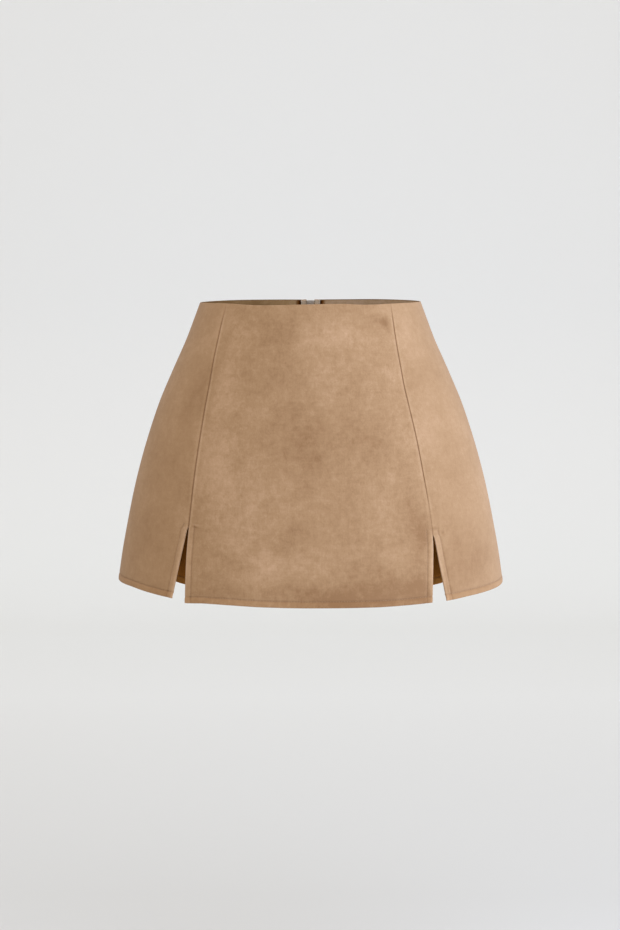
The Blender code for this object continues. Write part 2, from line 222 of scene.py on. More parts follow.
def mixColours(nodes, links, factor, first, second, kind="MIX"):
    node = nodes.new("ShaderNodeMix")
    node.data_type = "RGBA"
    node.blend_type = kind
    for name, value in (("Factor", factor), ("A", first), ("B", second)):
        sockets = [socket for socket in node.inputs if socket.name == name and socket.enabled]
        if isinstance(value, tuple):
            sockets[0].default_value = (*value, 1.0)
        elif isinstance(value, (int, float)):
            sockets[0].default_value = value
        else:
            links.new(value, sockets[0])
    return [socket for socket in node.outputs if socket.enabled][0]


def bump(nodes, links, height, strength, distance, before=None):
    node = nodes.new("ShaderNodeBump")
    node.inputs["Strength"].default_value = strength
    node.inputs["Distance"].default_value = distance
    links.new(height, node.inputs["Height"])
    if before is not None:
        links.new(before, node.inputs["Normal"])
    return node.outputs["Normal"]


def stretched(nodes, links, vector, scale):
    node = nodes.new("ShaderNodeMapping")
    node.inputs["Scale"].default_value = scale
    links.new(vector, node.inputs["Vector"])
    return node.outputs["Vector"]


def fromAttribute(nodes, name):
    node = nodes.new("ShaderNodeAttribute")
    node.attribute_name = name
    return node.outputs["Fac"]


def makeSuede(name, look):
    # a soft brushed nap: cloudy patches, small mottling, a faint weave and fine fibres that lie downwards
    material, nodes, links = newMaterial(name)
    shader = nodes["Principled BSDF"]
    place = nodes.new("ShaderNodeTexCoord").outputs["Object"]
    clouds = noise(nodes, links, place, look["cloudScale"], 3, 0.55, 0.4)
    patches = noise(nodes, links, place, look["patchScale"], 2, 0.5, 0.6)
    mottle = noise(nodes, links, place, look["mottleScale"], 4, 0.6, 0.2)
    speckle = noise(nodes, links, place, look["speckleScale"], 3, 0.6)
    fibres = noise(nodes, links, stretched(nodes, links, place, (1.0, 1.0, 0.22)), look["fibreScale"], 2, 0.6)
    warp = noise(nodes, links, stretched(nodes, links, place, (1.0, 1.0, 0.12)), look["weaveScale"], 2, 0.5)
    weft = noise(nodes, links, stretched(nodes, links, place, (0.12, 0.12, 1.0)), look["weaveScale"], 2, 0.5)
    patterns = ((clouds, look["clouds"]), (patches, look["patches"]), (mottle, look["mottle"]),
                (speckle, look["speckle"]), (fibres, look["fibres"]), (warp, look["weave"]), (weft, look["weave"]))
    # the patterns' sum swings about nought, less where the nap is brushed smooth
    grain = -0.5 * sum(amount for _, amount in patterns)
    for pattern, amount in patterns:
        grain = maths(nodes, links, "ADD", maths(nodes, links, "MULTIPLY", pattern, amount), grain)
    grain = maths(nodes, links, "MULTIPLY", grain, fromAttribute(nodes, "grain"))
    # the nap attribute adds the nap's patches together with painted highlights and painted shade
    tone = maths(nodes, links, "ADD", maths(nodes, links, "ADD", grain, fromAttribute(nodes, "nap")), 0.5)
    colour = ramp(nodes, links, tone, ((0.30, look["dark"]), (0.50, look["middle"]), (0.70, look["light"])))
    # the fold bands' own tint; painted shade darkening the grooves of seams, stitches and darts and the crease beside
    # the zip; and the back face's own colour
    for attribute, tint in (("foldEdge", "foldTint"), ("paintedShade", "paintedShadeTint"), ("inside", "backTint")):
        tinted = mixColours(nodes, links, 1.0, colour, look[tint], "MULTIPLY")
        colour = mixColours(nodes, links, fromAttribute(nodes, attribute), colour, tinted)
    links.new(colour, shader.inputs["Base Color"])
    shader.inputs["Roughness"].default_value = 0.92
    shader.inputs["Specular IOR Level"].default_value = look["specular"]
    shader.inputs["Sheen Weight"].default_value = look["sheen"]
    shader.inputs["Sheen Roughness"].default_value = 0.55
    shader.inputs["Sheen Tint"].default_value = (*look["sheenTint"], 1.0)
    nap = bump(nodes, links, speckle, 0.35, 0.0004)
    nap = bump(nodes, links, fibres, 0.30, 0.0002, nap)
    links.new(nap, shader.inputs["Normal"])
    return material


suedeLook = {
    "dark": (0.233, 0.1215, 0.0525), "middle": (0.325, 0.190, 0.094), "light": (0.440, 0.272, 0.155),
    "cloudScale": 16.0, "patchScale": 55.0, "mottleScale": 160.0, "speckleScale": 520.0, "fibreScale": 1100.0, "weaveScale": 420.0,
    "clouds": 0.36, "patches": 0.14, "mottle": 0.28, "speckle": 0.15, "fibres": 0.10, "weave": 0.07,
    "foldTint": (1.00, 0.96, 0.90), "paintedShadeTint": (0.66, 0.56, 0.46), "backTint": (0.78, 0.94, 1.10),
    "specular": 0.3, "sheen": 0.07, "sheenTint": (1.0, 0.97, 0.95),
}
# The shorts are the skirt's suede with its colour painted darker and redder: painted shade where they hang in the
# skirt's shadow. Their back face is lifted back near the suede's own colour, their hem band is painted lighter as a
# painted highlight, and their painted shade beside the zip is near black.
shortsPaintedShadeLook = dict(
    suedeLook, dark=(0.210, 0.072, 0.008), middle=(0.305, 0.112, 0.014), light=(0.410, 0.165, 0.028),
    foldTint=(1.10, 1.25, 1.90), paintedShadeTint=(0.12, 0.070, 0.033), backTint=(1.18, 2.05, 8.0), specular=0.08, sheen=0.0,
)


def makeThread(name, colour):
    material, nodes, links = newMaterial(name)
    shader = nodes["Principled BSDF"]
    twist = noise(nodes, links, nodes.new("ShaderNodeTexCoord").outputs["Object"], 2500.0, 1)
    dark = tuple(0.72 * value for value in colour)
    links.new(ramp(nodes, links, twist, ((0.35, dark), (0.65, colour))), shader.inputs["Base Color"])
    shader.inputs["Roughness"].default_value = 0.6
    shader.inputs["Specular IOR Level"].default_value = 0.3
    links.new(bump(nodes, links, twist, 0.5, 0.0001), shader.inputs["Normal"])
    return material


def makeTape(name):
    # a herringbone weave that follows the tape's own UV map, in metres
    material, nodes, links = newMaterial(name)
    shader = nodes["Principled BSDF"]
    uv = nodes.new("ShaderNodeUVMap")
    uv.uv_map = "UVMap"
    split = nodes.new("ShaderNodeSeparateXYZ")
    links.new(uv.outputs["UV"], split.inputs["Vector"])
    zigzag = maths(nodes, links, "PINGPONG", split.outputs["X"], 0.0012)
    slant = maths(nodes, links, "ADD", zigzag, split.outputs["Y"])
    weave = maths(nodes, links, "SINE", maths(nodes, links, "MULTIPLY", slant, 2 * math.pi / 0.0006), 0.0)
    weave = maths(nodes, links, "MULTIPLY_ADD", weave, 0.5)
    weave.node.inputs[2].default_value = 0.5
    colour = ramp(nodes, links, weave, ((0.0, (0.46, 0.350, 0.245)), (1.0, (0.72, 0.57, 0.42))))
    # the selvedges are painted lighter: a painted highlight on the raised edges
    colour = mixColours(nodes, links, fromAttribute(nodes, "foldEdge"), colour, (0.85, 0.77, 0.66))
    # the tape darkens to near black where painted shade is set
    colour = mixColours(nodes, links, fromAttribute(nodes, "paintedShade"), colour, (0.06, 0.035, 0.02))
    links.new(colour, shader.inputs["Base Color"])
    shader.inputs["Roughness"].default_value = 0.8
    links.new(bump(nodes, links, weave, 0.6, 0.00015), shader.inputs["Normal"])
    return material


def makeNickel(name):
    material, nodes, links = newMaterial(name)
    shader = nodes["Principled BSDF"]
    place = nodes.new("ShaderNodeTexCoord").outputs["Object"]
    smudge = noise(nodes, links, place, 700.0, 4)
    links.new(ramp(nodes, links, smudge, ((0.3, (0.80, 0.77, 0.72)), (0.7, (0.96, 0.94, 0.90)))),
              shader.inputs["Base Color"])
    shader.inputs["Metallic"].default_value = 0.82
    rough = nodes.new("ShaderNodeMapRange")
    rough.inputs["To Min"].default_value = 0.28
    rough.inputs["To Max"].default_value = 0.48
    links.new(smudge, rough.inputs["Value"])
    links.new(rough.outputs["Result"], shader.inputs["Roughness"])
    links.new(bump(nodes, links, noise(nodes, links, place, 4000.0, 2), 0.15, 0.00005), shader.inputs["Normal"])
    return material


suede = makeSuede("tanSuede", suedeLook)
shortsCloth = makeSuede("shortsSuedePaintedShade", shortsPaintedShadeLook)
tanThread = makeThread("tanThread", (0.33, 0.20, 0.11))
brownThread = makeThread("brownThread", (0.16, 0.080, 0.030))
tapeCloth = makeTape("wovenTape")
nickel = makeNickel("nickel")
print("materials made")


# Cloth

def deselect():
    if bpy.context.object and bpy.context.object.mode != "OBJECT":
        bpy.ops.object.mode_set(mode="OBJECT")
    bpy.ops.object.select_all(action="DESELECT")


def pick(piece):
    deselect()
    piece.select_set(True)
    bpy.context.view_layer.objects.active = piece


def applyModifier(piece, kind, **settings):
    pick(piece)
    modifier = piece.modifiers.new(kind.lower(), kind)
    for name, value in settings.items():
        setattr(modifier, name, value)
    bpy.ops.object.modifier_apply(modifier=modifier.name)


clothGrid = {
    # distances from an edge where the cloth has points, and the step between them elsewhere
    "edge": (0.0, 0.00015, 0.00035, 0.0006, 0.0009, 0.0013, 0.0019, 0.0027, 0.0038, 0.0050,
             0.0061, 0.0067, 0.0073, 0.0079, 0.0086, 0.0100),
    "step": 0.0030,
    # points beside a line in the middle of the cloth, such as a slit's top
    "line": (-0.0040, -0.0024, -0.0012, 0.0, 0.0012, 0.0024, 0.0040),
    # and beside a dart, which is sharper
    "dart": (-0.0040, -0.0022, -0.0012, -0.0006, -0.0003, 0.0, 0.0003, 0.0006, 0.0012, 0.0022, 0.0040),
}


def placesAlong(length, stops, counts):
    # joins the stops' own points with even steps between them
    places = [stops[0]]
    for before, after, count in zip(stops[:-1], stops[1:], counts):
        places += [np.linspace(before[-1], after[0], count + 1)[1:-1], after]
    return np.concatenate(places)


def stopsAlong(length, edge, lines, beside):
    # a line's place is from the left edge, or from the right edge where it is below 0
    marks = sorted(line if line >= 0 else length + line for line in lines)
    return [np.array(edge)] + [mark + np.array(beside) for mark in marks] + [length - np.array(edge)[::-1]]


def countsAlong(stops, step):
    return [max(round((after[0] - before[-1]) / step), 2) for before, after in zip(stops[:-1], stops[1:])]


def layCloth(cut):
    # lays rows of points on the cut's form, with even distances from its edges
    edge = cut.get("edge", clothGrid["edge"])
    step = cut.get("step", clothGrid["step"])
    height = cut["end"] - cut["top"]
    stops = stopsAlong(height, edge, [mark - cut["top"] for mark in cut.get("marks", ())], clothGrid["line"])
    levels = cut["top"] + placesAlong(height, stops, countsAlong(stops, step))
    shares = np.linspace(0, 1, 241)
    rows = []
    for level in levels:
        drop = np.full_like(shares, level)
        for _ in range(4):
            left = cut["left"](drop)
            turn = left + shares * (cut["right"](drop) - left)
            drop = cut["hang"](level, turn)
        line = cut["form"](turn, drop)
        lengths = np.concatenate(([0], np.cumsum(np.linalg.norm(np.diff(line, axis=0), axis=1))))
        rows.append((turn, drop, lengths))
    darts = cut.get("darts", ())
    widest = max(lengths[-1] for _, _, lengths in rows)
    counts = countsAlong(stopsAlong(widest, edge, darts, clothGrid["dart"]), step)
    turns, drops, across = [], [], []
    for turn, drop, lengths in rows:
        places = placesAlong(lengths[-1], stopsAlong(lengths[-1], edge, darts, clothGrid["dart"]), counts)
        across.append(places)
        turns.append(np.interp(places, lengths, turn))
        drops.append(np.interp(places, lengths, drop))
    turns, drops, across = np.array(turns), np.array(drops), np.array(across)
    base = cut["form"](turns, drops)
    down = np.gradient(base, axis=0)
    side = np.gradient(base, axis=1)
    normals = np.cross(down, side)
    normals /= np.linalg.norm(normals, axis=-1, keepdims=True)
    fall = np.zeros(base.shape[:2])
    fall[1:] = np.cumsum(np.linalg.norm(np.diff(base, axis=0), axis=-1), axis=0)
    return {
        "base": base, "normals": normals, "turn": turns, "drop": drops,
        "fromLeft": across, "fromRight": across[:, -1:] - across,
        "fromTop": fall, "fromHem": fall[-1:] - fall,
        "shift": np.zeros_like(fall), "roll": np.zeros_like(fall), "wall": np.zeros_like(fall),
        "foldEdge": np.zeros_like(fall), "paintedShade": np.zeros_like(fall), "nap": np.zeros_like(fall),
        "turned": np.zeros_like(fall), "grain": np.ones_like(fall),
    }


def rollIn(distance, width, depth=None):
    # how far the face turns in beside an edge: a quarter round, or flatter
    inside = np.clip(1 - distance / width, 0, 1)
    return (depth if depth is not None else width) * (1 - np.sqrt(1 - inside**2))


def ditch(distance, depth, width):
    return depth * np.exp(-(distance / width)**2)


def setPoints(piece, points):
    piece.data.vertices.foreach_set("co", np.ascontiguousarray(points, dtype=np.float32).ravel())
    piece.data.update()


def setAttribute(piece, name, values):
    attribute = piece.data.attributes.new(name, "FLOAT", "POINT")
    attribute.data.foreach_set("value", np.ascontiguousarray(values, dtype=np.float32))


def sewCloth(name, cloth, material):
    # a grid primitive takes the cloth's points, and Solidify gives it its wall
    rows, columns = cloth["drop"].shape
    shift = cloth["shift"][..., None]
    cloth["outer"] = cloth["base"] + (shift - cloth["roll"][..., None]) * cloth["normals"]
    cloth["inner"] = cloth["base"] + (shift - cloth["wall"][..., None]) * cloth["normals"]
    deselect()
    bpy.ops.mesh.primitive_grid_add(x_subdivisions=columns - 1, y_subdivisions=rows - 1, size=2)
    piece = bpy.context.object
    piece.name = name
    piece.data.name = name
    flat = np.empty(len(piece.data.vertices) * 3, np.float32)
    piece.data.vertices.foreach_get("co", flat)
    flat = flat.reshape(-1, 3)
    column = np.rint((flat[:, 0] + 1) / 2 * (columns - 1)).astype(int)
    row = np.rint((1 - flat[:, 1]) / 2 * (rows - 1)).astype(int)
    setPoints(piece, cloth["outer"][row, column])
    uvs = np.stack((cloth["fromLeft"][row, column], cloth["fromTop"][row, column]), -1)
    corners = np.empty(len(piece.data.loops), np.int32)
    piece.data.loops.foreach_get("vertex_index", corners)
    piece.data.uv_layers[0].name = "UVMap"
    piece.data.uv_layers[0].data.foreach_set("uv", uvs[corners].astype(np.float32).ravel())
    applyModifier(piece, "SOLIDIFY", thickness=float(np.mean(cloth["wall"])), offset=-1.0)
    setPoints(piece, np.concatenate((cloth["outer"][row, column], cloth["inner"][row, column])))
    setAttribute(piece, "inside", np.concatenate((np.zeros(len(row)), 1 - cloth["turned"][row, column])))
    for attribute in ("foldEdge", "paintedShade", "nap", "grain"):
        setAttribute(piece, attribute, np.tile(cloth[attribute][row, column], 2))
    piece.data.materials.append(material)
    pick(piece)
    bpy.ops.object.shade_smooth_by_angle(angle=math.radians(55))
    return piece


# Soft creases of the skirt: where each lies, its length and width, and its height (minus for a trough)
skirtCreases = {
    "columns": ("angle", "drop", "slant", "length", "width", "height"),
    "rows": (
        (46.2, 0.0205, 30, 0.0060, 0.0042, -0.0013),
        (38.0, 0.0230, 84, 0.0160, 0.0040, -0.0005),
        (44.0, 0.0330, 55, 0.016, 0.0060, 0.0005),
        (-60.0, 0.2050, 8, 0.060, 0.0090, -0.0006),
        (-63.0, 0.1500, 12, 0.050, 0.0100, 0.0005),
        (-38.0, 0.3000, 62, 0.060, 0.0140, 0.0008),
        (39.0, 0.2950, -58, 0.050, 0.0130, 0.0008),
        (12.0, 0.1900, 70, 0.060, 0.0200, -0.0006),
        (-15.0, 0.0700, 80, 0.070, 0.0200, 0.0004),
        (70.0, 0.2300, 10, 0.070, 0.0160, -0.0007),
        (120.0, 0.1900, -24, 0.090, 0.0170, -0.0010),
        (136.0, 0.2500, -12, 0.080, 0.0180, 0.0009),
        (-118.0, 0.2000, 22, 0.080, 0.0160, -0.0010),
        (-140.0, 0.2600, 10, 0.070, 0.0180, 0.0009),
        (160.0, 0.0900, 60, 0.050, 0.0120, 0.0006),
        (-158.0, 0.0820, -55, 0.045, 0.0120, 0.0006),
    ),
}
# Patches where the nap lies darker (minus) or lighter, with the same columns. Some are painted shade and painted
# highlight: the dent by the right seam, the band above the centre's hem and the slits' tops.
napAndPaintedLightPatches = {
    "columns": ("angle", "drop", "slant", "length", "width", "amount"),
    "rows": (
        # painted shade in the dent beside the right seam
        (46.0, 0.0195, 20, 0.0060, 0.0056, -0.20),
        (42.0, 0.0170, 60, 0.0110, 0.0080, -0.06),
        (36.0, 0.0240, 86, 0.0200, 0.0060, -0.06),
        (59.0, 0.0300, 0, 0.0250, 0.0120, 0.06),
        (-24.0, 0.0280, 60, 0.026, 0.018, -0.12),
        (12.0, 0.0360, 90, 0.060, 0.020, 0.09),
        (-45.0, 0.0700, 0, 0.048, 0.016, 0.12),
        (-57.0, 0.0350, 0, 0.030, 0.012, 0.06),
        (-36.0, 0.1280, 0, 0.030, 0.014, -0.06),
        (-54.0, 0.2350, 0, 0.022, 0.012, 0.09),
        (-44.0, 0.2430, 0, 0.014, 0.010, 0.08),
        (56.0, 0.2930, 0, 0.020, 0.008, -0.08),
        (-35.0, 0.2580, 60, 0.020, 0.014, 0.07),
        (-31.0, 0.2900, 80, 0.026, 0.010, -0.10),
        (33.0, 0.1800, 0, 0.020, 0.020, -0.06),
        (60.0, 0.2720, 0, 0.034, 0.010, -0.08),
        (66.0, 0.2050, 0, 0.034, 0.014, -0.06),
        (-61.0, 0.1130, 0, 0.030, 0.010, -0.08),
        (-70.0, 0.2000, 0, 0.110, 0.024, -0.04),
        (-49.0, 0.1900, 0, 0.028, 0.010, 0.06),
        (26.0, 0.1380, 20, 0.050, 0.022, -0.06),
        (43.0, 0.2150, 0, 0.045, 0.012, -0.06),
        (47.0, 0.2790, 0, 0.040, 0.010, -0.11),
        (-13.0, 0.2600, 0, 0.030, 0.012, -0.08),
        # the next two rows: painted shade along the bottom above the hem
        (0.0, 0.3160, 90, 0.150, 0.011, -0.09),
        (17.0, 0.3290, 90, 0.062, 0.011, -0.18),
        (-30.0, 0.3290, 90, 0.045, 0.007, 0.07),
        (-42.0, 0.1880, 20, 0.035, 0.022, 0.10),
        (-30.0, 0.2000, 0, 0.050, 0.020, 0.06),
        (-55.0, 0.0900, 0, 0.035, 0.016, -0.08),
        (-4.0, 0.1500, 8, 0.075, 0.022, -0.09),
        (-4.0, 0.2500, 60, 0.020, 0.020, -0.06),
        (36.0, 0.3100, 60, 0.050, 0.026, -0.14),
        (50.0, 0.2500, 10, 0.024, 0.012, -0.07),
        (68.0, 0.2850, 0, 0.034, 0.024, -0.13),
        (-20.0, 0.2950, 80, 0.022, 0.030, 0.10),
        (57.0, 0.1500, 0, 0.034, 0.018, 0.05),
        (128.0, 0.1200, 40, 0.050, 0.026, -0.07),
        (150.0, 0.2400, -30, 0.060, 0.030, 0.08),
        (-125.0, 0.1500, -20, 0.060, 0.028, 0.07),
        (-150.0, 0.2700, 50, 0.050, 0.024, -0.08),
        # small pulls at the tops of the slits: their painted shade and painted highlights
        (-49.4, 0.2468, 74, 0.0038, 0.0009, -0.24),
        (-49.0, 0.2425, 78, 0.0022, 0.0009, -0.12),
        (-49.6, 0.2448, 76, 0.0036, 0.0009, 0.16),
        (53.0, 0.2525, 90, 0.0026, 0.0014, 0.09),
        (53.0, 0.2490, 90, 0.0045, 0.0010, -0.10),
        (55.8, 0.2550, 25, 0.0036, 0.0011, -0.18),
        (57.2, 0.2505, 20, 0.0024, 0.0011, -0.10),
        (48.0, 0.2530, 10, 0.0090, 0.0080, -0.07),
    ),
}


def softSpots(cloth, table):
    # adds up a table's soft long spots over a cloth
    total = np.zeros_like(cloth["drop"])
    for angle, drop, slant, length, width, amount in table["rows"]:
        reach = np.linalg.norm(skirtPoint(angle, drop)[:2])
        x = np.radians((cloth["turn"] - angle + 180) % 360 - 180) * reach
        y = cloth["drop"] - drop
        lean = math.radians(slant)
        along = y * math.cos(lean) + x * math.sin(lean)
        across = x * math.cos(lean) - y * math.sin(lean)
        total += amount * np.exp(-(along / length)**2 - (across / width)**2)
    return total


def beside(angle, drop, turn):
    return angle + turn * degreesOf(seamGap / 2, drop, angle)


def slitLean(side, drop):
    # a slit gapes a little just below its top, and widens evenly from there
    below = np.maximum(drop - slits[side]["apexDrop"], 0.0)
    gape = slits[side]["gape"] * (1 - np.exp(-below / 0.003)) * np.exp(-below / 0.015)
    return below * slits[side]["lean"] + gape


def seamAngle(side, drop):
    return readTable(skirtForm, side + "Seam", drop)


def backOpening(drop):
    half = np.maximum(readTable(zipOpening, "skirt", drop), seamGap / 2)
    return 180.0 - degreesOf(half, drop)


skirtCloth = {
    "wall": 0.0012, "foldedWall": 0.0016, "foldDepth": 0.0090, "foldRoll": 0.0010,
    "seamRoll": 0.0017, "seamDepth": 0.00100, "seamDepthAtWaist": 0.00025, "seamSettles": 0.024,
    "stitchInset": 0.0072, "stitchDepth": 0.00055, "stitchWidth": 0.0008, "bandPuff": 0.00030,
    "pucker": 0.00010, "puckerPitch": 0.0061, "barRise": {"left": 0.0035, "right": 0.0060},
    "grooveShadeWidth": 0.0011, "seamShadeWidth": 0.0009, "rightSeamShadeWidth": 0.0007, "rightSeamRoll": 0.0012, "slitShade": 0.17, "slitShadeWidth": 0.0016, "rimHighlight": 0.10, "rimHighlightWidth": 0.0020,
    "bandHighlight": 0.05, "ridge": 0.0024, "ridgeWidth": 0.0012, "ridgeHighlight": 0.05, "leftRidgeHighlight": 0.12, "sideCalm": 0.4, "zipStitchEnd": 0.166,
    "dartInset": 0.072, "dartEnd": 0.105, "dartDepth": 0.00060, "dartWidth": 0.00035,
}

skirtPanels = {
    "frontCentrePanel": {
        "node": "front_centre_panel", "slits": {"fromLeft": "left", "fromRight": "right"},
        "left": lambda drop: beside(seamAngle("left", drop), drop, 1),
        "right": lambda drop: beside(seamAngle("right", drop), drop, -1),
        "flat": (0.300, 0.350), "area": 0.088,
    },
    "frontSideLeft": {
        "node": "front_side_left", "slits": {"fromRight": "left"},
        "left": lambda drop: beside(-90.0, drop, 1),
        "right": lambda drop: beside(seamAngle("left", drop), drop, -1) - slitLean("left", drop),
        "flat": (0.165, 0.350), "area": 0.042,
    },
    "frontSideRight": {
        "node": "front_side_right", "slits": {"fromLeft": "right"},
        "left": lambda drop: beside(seamAngle("right", drop), drop, 1) + slitLean("right", drop),
        "right": lambda drop: beside(90.0, drop, -1),
        "flat": (0.170, 0.350), "area": 0.044,
    },
    "backRight": {
        "node": "back_right", "zip": "fromRight",
        "left": lambda drop: beside(90.0, drop, 1), "right": backOpening,
        "flat": (0.310, 0.350), "area": 0.088,
    },
    "backLeft": {
        "node": "back_left", "zip": "fromLeft",
        "left": lambda drop: -backOpening(drop), "right": lambda drop: -beside(90.0, drop, 1),
        "flat": (0.310, 0.350), "area": 0.088,
    },
}


def zipFlare(drop):
    # how much further the edges stand open over the slider than beside the teeth
    return readTable(zipOpening, "skirt", np.clip(drop, 0.0, 0.10)) - 0.0026


def foldBands(panel, cloth):
    # each turned-in, stitched band: its edge, the distance from it, where it is, and how much its colour changes
    sizes = skirtCloth
    drop = cloth["drop"]
    bands = [("fromHem", cloth["fromHem"], np.ones_like(drop), 1.0)]
    for edge, side in panel.get("slits", {}).items():
        start = slits[side]["apexDrop"] - sizes["barRise"][side]
        bands.append((edge, cloth[edge], np.clip((drop - start) / 0.002, 0, 1), 0.0))
    if "zip" in panel:
        edge = panel["zip"]
        bands.append((edge, cloth[edge] + zipFlare(drop), np.clip((sizes["zipStitchEnd"] - drop) / 0.002, 0, 1), 0.0))
    return bands


def shapeSkirtPanel(name, panel):
    sizes = skirtCloth
    slitTops = [slits[side]["apexDrop"] for side in panel.get("slits", {}).values()]
    marks = [min(slitTops), min(slitTops) + 0.0094] if slitTops else []
    darts = []
    if "zip" in panel:
        marks = [0.019, 0.160]
        darts = [sizes["dartInset"] if panel["zip"] == "fromLeft" else -sizes["dartInset"]]
    cut = {"left": panel["left"], "right": panel["right"], "top": 0.0, "end": hemLevel,
           "hang": hangDrop, "form": skirtPoint, "marks": marks, "darts": darts}
    cloth = layCloth(cut)
    drop = cloth["drop"]
    settle = np.clip(drop / sizes["seamSettles"], 0, 1)
    seamDepth = sizes["seamDepthAtWaist"] + settle * (sizes["seamDepth"] - sizes["seamDepthAtWaist"])
    # the right front seam nearly vanishes above its slit
    faded = 1 - 0.75 * np.clip((drop - 0.190) / 0.040, 0, 1)
    sharp = {key: faded if panel.get("slits", {}).get(key) == "right" else 1.0 for key in ("fromLeft", "fromRight")}
    roll = np.maximum(rollIn(cloth["fromHem"], sizes["foldRoll"]), rollIn(cloth["fromTop"], sizes["foldRoll"]))
    onRight = {key: panel.get("slits", {}).get(key) == "right" for key in ("fromLeft", "fromRight")}
    for key, fine in onRight.items():
        width = sizes["rightSeamRoll"] if fine else sizes["seamRoll"]
        roll = np.maximum(roll, rollIn(cloth[key], width, seamDepth * sharp[key]))
    cloth["roll"] = roll
    shift = softSpots(cloth, skirtCreases)
    # nap tone together with painted shade and painted highlights
    cloth["nap"] = softSpots(cloth, napAndPaintedLightPatches)
    # the front's side panels look smoother than its middle
    around = np.abs(cloth["turn"])
    cloth["grain"] = 1 - sizes["sideCalm"] * np.clip((around - 46) / 12, 0, 1) * np.clip((120 - around) / 30, 0, 1)
    wall = np.full_like(drop, sizes["wall"])
    bend = np.sin(2 * np.pi * (cloth["fromLeft"] + 0.6 * cloth["fromTop"]) / sizes["puckerPitch"])
    inset = sizes["stitchInset"]
    seams = {"fromLeft": np.ones_like(drop), "fromRight": np.ones_like(drop)}
    for edge, distance, share, tint in foldBands(panel, cloth):
        if edge in seams:
            apex = slits[panel["slits"][edge]]["apexDrop"] if "slits" in panel else sizes["zipStitchEnd"]
            seams[edge] = np.clip((apex + 0.001 - drop) / 0.002, 0, 1) if "slits" in panel else 1 - share
            rimShare = 1 - seams[edge]
            # painted shade along the slits' stitch lines
            cloth["paintedShade"] += share * ditch(distance - inset, sizes["slitShade"], sizes["slitShadeWidth"])
            # painted highlight on the slits' rolled edges and along their bands
            cloth["nap"] += rimShare * ditch(distance - 0.0008, sizes["rimHighlight"], sizes["rimHighlightWidth"])
            cloth["nap"] += rimShare * sizes["bandHighlight"] * np.clip((inset - distance) / 0.001, 0, 1)
        else:
            # painted shade in the stitch line's groove
            cloth["paintedShade"] += share * ditch(distance - inset, 0.35, sizes["grooveShadeWidth"])
        line = ditch(distance - inset, sizes["stitchDepth"], sizes["stitchWidth"])
        puff = sizes["bandPuff"] * np.sin(np.pi * np.clip(distance / inset, 0, 1))
        ripple = sizes["pucker"] * bend * np.exp(-((distance - inset) / 0.004)**2)
        shift = shift + share * (puff + ripple - line)
        inBand = share * np.clip((sizes["foldDepth"] - distance) / 0.0006, 0, 1)
        wall = np.maximum(wall, sizes["wall"] + inBand * (sizes["foldedWall"] - sizes["wall"]))
        cloth["turned"] = np.maximum(cloth["turned"], inBand)
        cloth["foldEdge"] += tint * share * np.clip((inset - distance) / 0.0015, 0, 1)
    for edge, share in seams.items():
        width = sizes["rightSeamShadeWidth"] if onRight[edge] else sizes["seamShadeWidth"]
        # painted shade along the seam's line
        cloth["paintedShade"] += share * settle * sharp[edge] * ditch(cloth[edge], 0.68, width)
        # each seam gets a painted highlight along a ridge beside it, stronger on the left front seam's inner side
        inner = panel.get("slits", {}).get(edge) == "left" and edge == "fromLeft"
        ridgeHighlight = sizes["leftRidgeHighlight"] if inner else sizes["ridgeHighlight"]
        cloth["nap"] += share * settle * ditch(cloth[edge] - sizes["ridge"], ridgeHighlight, sizes["ridgeWidth"])
    for dart in darts:
        away = cloth[panel["zip"]] - sizes["dartInset"]
        fade = np.clip((sizes["dartEnd"] - drop) / 0.012, 0, 1)
        shift = shift - fade * ditch(away, sizes["dartDepth"], sizes["dartWidth"])
        # painted shade in the dart's fold
        cloth["paintedShade"] += fade * settle * ditch(away, 0.6, sizes["grooveShadeWidth"])
        point = np.exp(-((drop - sizes["dartEnd"]) / 0.014)**2 - (away / 0.008)**2)
        shift = shift + 0.0005 * point
    cloth["shift"] = shift
    cloth["wall"] = wall
    return sewCloth(name, cloth, suede), cloth


# Stitches: one is modelled, and copies of it lie along each sewn line

stitchLook = {"length": 0.00255, "pitch": 0.0031, "thickness": 0.00046, "raise": 0.00006, "dip": 0.00022}


def meshParts(piece):
    # a finished small shape's points and faces, after which the piece itself goes
    points = np.array([vertex.co[:] for vertex in piece.data.vertices])
    faces = [list(face.vertices) for face in piece.data.polygons]
    bpy.data.objects.remove(piece, do_unlink=True)
    return points, faces


def modelStitch():
    look = stitchLook
    deselect()
    bpy.ops.mesh.primitive_uv_sphere_add(segments=6, ring_count=5, radius=0.5)
    bpy.ops.object.mode_set(mode="EDIT")
    bpy.ops.mesh.select_all(action="SELECT")
    bpy.ops.transform.rotate(value=math.radians(90), orient_axis="Y", center_override=(0, 0, 0))
    bpy.ops.transform.resize(value=(look["length"], look["thickness"], look["thickness"]))
    bpy.ops.object.mode_set(mode="OBJECT")
    points, faces = meshParts(bpy.context.object)
    points[:, 2] -= look["dip"] * (2 * points[:, 0] / look["length"])**2
    return points, faces


def copyAlong(name, shape, places, material):
    # joins a copy of a shape at each place: its middle, and its own X and Z directions
    points, faces = shape
    middles, alongs, ups = (np.array(column) for column in zip(*places))
    asides = np.cross(ups, alongs)
    axes = np.stack((alongs, asides, ups), 1)
    copies = middles[:, None, :] + np.einsum("pk,nkc->npc", points, axes)
    joined = [[corner + copy * len(points) for corner in face] for copy in range(len(copies)) for face in faces]
    mesh = bpy.data.meshes.new(name)
    mesh.from_pydata(copies.reshape(-1, 3).tolist(), [], joined)
    mesh.materials.append(material)
    piece = bpy.data.objects.new(name, mesh)
    bpy.context.scene.collection.objects.link(piece)
    pick(piece)
    bpy.ops.object.shade_smooth_by_angle(angle=math.radians(50))
    return piece


